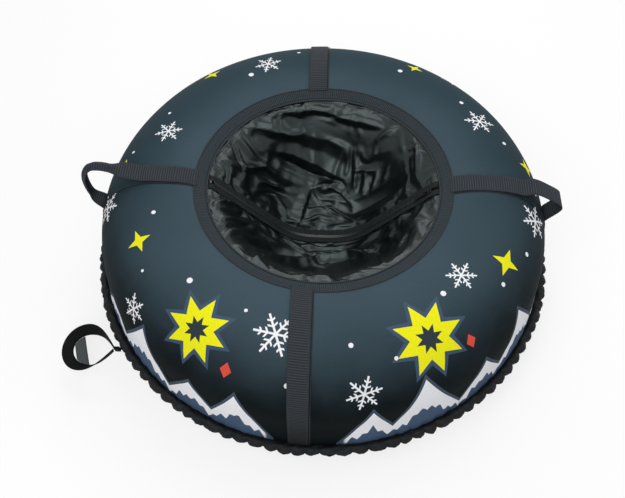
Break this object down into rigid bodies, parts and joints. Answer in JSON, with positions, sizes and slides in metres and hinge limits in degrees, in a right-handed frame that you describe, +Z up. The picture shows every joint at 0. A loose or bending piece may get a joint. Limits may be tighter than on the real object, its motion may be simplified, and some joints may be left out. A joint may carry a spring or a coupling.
{
  "type": "snow tube",
  "caption": "Inflatable round snow tube in a printed cloth cover with a coated sliding base, gathered hem, zipped seat, sewn webbing handles and a tow loop",
  "frame": {"origin": "On the floor under the middle of the seat opening, in the plane of the flat of the sliding base", "axes": "+Z up, +Y to the rear so that the front strap is on -Y, +X to the right, where the zip slider is"},
  "size_m": [1.0321, 0.9936, 0.3259],
  "materials": {
    "cover_cloth": "matte printed woven cloth",
    "base_tarpaulin": "smooth coated cloth",
    "hem_cloth": "matte, gathered",
    "binding_tape": "matte woven tape",
    "seat_taffeta": "shiny thin lining",
    "zip_tape": "matte woven tape",
    "zip_chain": "satin",
    "zip_metal": "satin black enamel",
    "webbing": "ribbed woven webbing",
    "tow_backing": "smooth coated strip",
    "tube_rubber": "satin",
    "valve_brass": "satin",
    "valve_plastic": "moulded"
  },
  "bodies": {
    "cover": {"top_panel_front_left": "cover_cloth", "top_panel_front_right": "cover_cloth", "top_panel_rear_left": "cover_cloth", "top_panel_rear_right": "cover_cloth", "sliding_base": "base_tarpaulin", "hem_gather": "hem_cloth", "opening_binding": "binding_tape", "seat_panel_front": "seat_taffeta", "seat_panel_rear": "seat_taffeta", "zip_tape_front": "zip_tape", "zip_tape_rear": "zip_tape", "zip_teeth_front": "zip_chain", "zip_teeth_rear": "zip_chain", "zip_bottom_stop": "zip_chain", "zip_top_stop_front": "zip_chain", "zip_top_stop_rear": "zip_chain", "strap_front": "webbing", "strap_rear": "webbing", "strap_left": "webbing", "strap_right": "webbing", "strap_tail_left": "webbing", "strap_tail_right": "webbing", "handle_left_upper_root": "webbing", "handle_left_lower_root": "webbing", "handle_right_upper_root": "webbing", "handle_right_lower_root": "webbing", "tow_loop_root": "webbing", "inner_tube": "tube_rubber", "valve_patch": "tube_rubber", "valve_stem": "valve_brass", "valve_core": "valve_brass"},
    "left_handle": {"handle_left_grip": "webbing"},
    "right_handle": {"handle_right_grip": "webbing"},
    "tow_loop": {"tow_loop": "webbing", "tow_loop_tail": "tow_backing"},
    "zip_slider": {"zip_slider": "zip_metal"},
    "zip_pull": {"zip_pull": "zip_metal"},
    "valve_cap": {"valve_cap": "valve_plastic"},
    "valve_pin": {"valve_core_pin": "valve_brass"}
  },
  "joints": [
    {"name": "left_handle_swing", "type": "hinge", "parent": "cover", "child": "left_handle", "pos_m": [-0.36799, 0, 0.30111], "axis": [-0.6837, 0, -0.7298], "range_deg": [-50, 50], "deforming": ["handle_left_upper_root", "handle_left_lower_root"]},
    {"name": "right_handle_swing", "type": "hinge", "parent": "cover", "child": "right_handle", "pos_m": [0.39825, 0, 0.28998], "axis": [0.5869, 0, -0.8096], "range_deg": [-50, 50], "deforming": ["handle_right_upper_root", "handle_right_lower_root"]},
    {"name": "tow_loop_swing", "type": "hinge", "parent": "cover", "child": "tow_loop", "pos_m": [-0.40896, -0.28229, 0.0745], "axis": [0.5681, -0.823, 0], "range_deg": [-85, 30], "deforming": ["tow_loop_root"]},
    {"name": "zip_run", "type": "slide", "parent": "cover", "child": "zip_slider", "axis": [-0.6637, 0, -0.748], "range_m": [0, 0.155], "deforming": ["zip_teeth_front", "zip_teeth_rear"]},
    {"name": "zip_pull_hinge", "type": "hinge", "parent": "zip_slider", "child": "zip_pull", "pos_m": [0.20922, 0, 0.26577], "axis": [0, 1, 0], "range_deg": [0, 175]},
    {"name": "valve_cap_off", "type": "slide", "parent": "cover", "child": "valve_cap", "axis": [0.0765, -0.9718, -0.223], "range_m": [0, 0.03]},
    {"name": "valve_pin_press", "type": "slide", "parent": "cover", "child": "valve_pin", "axis": [-0.0765, 0.9718, 0.223], "range_m": [0, 0.001], "stiffness_N_per_m": 300, "springref_m": -0.001}
  ]
}
